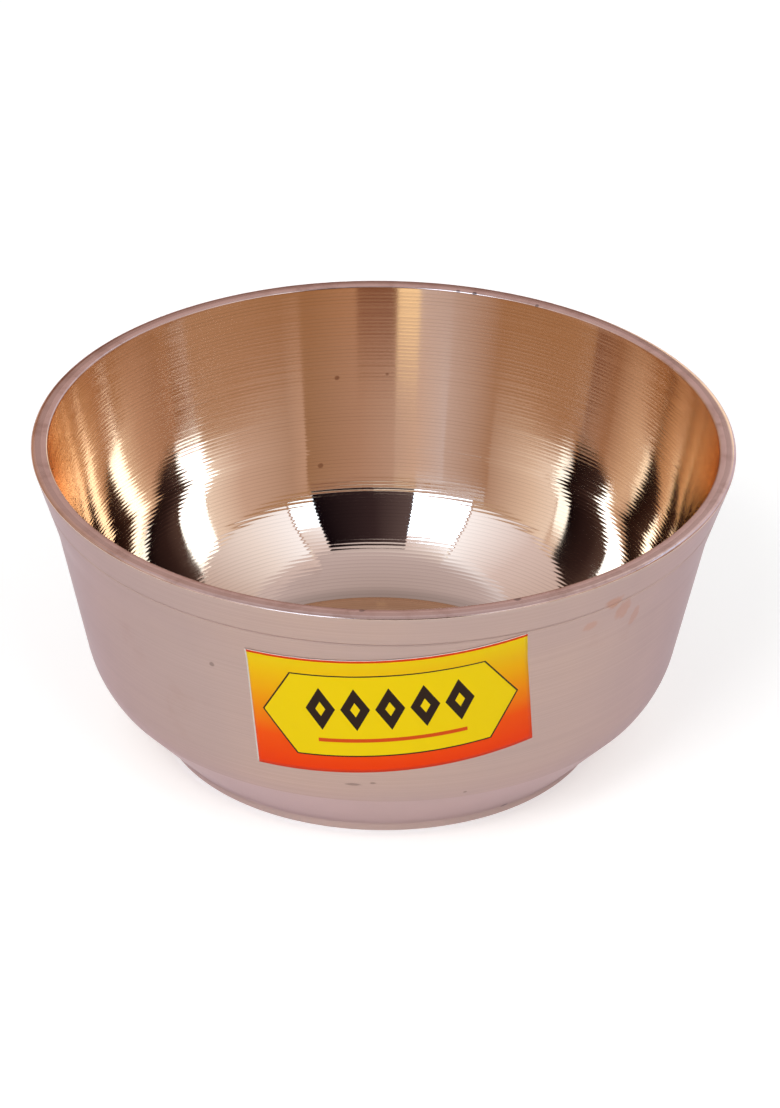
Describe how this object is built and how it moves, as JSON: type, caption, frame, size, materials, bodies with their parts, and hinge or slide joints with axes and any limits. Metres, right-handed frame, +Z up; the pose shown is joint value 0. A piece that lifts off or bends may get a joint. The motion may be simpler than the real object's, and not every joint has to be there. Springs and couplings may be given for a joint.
{
  "type": "bowl",
  "caption": "Round turned bronze bowl with a thick flat rim, a flared lip, a tapered base on a low foot ring and a paper label.",
  "frame": {"origin": "middle of the foot ring's resting face, on the bowl's axis", "axes": "+Z up along the bowl's axis, out of its mouth; the paper label is on the -Y side"},
  "size_m": [0.102, 0.102, 0.0465],
  "materials": {
    "bronze": "satin turned outside, polished with fine turning rings inside",
    "printed_paper": "smooth printed"
  },
  "bodies": {
    "root": {"bowl": "bronze", "paper_label": "printed_paper"}
  },
  "joints": []
}
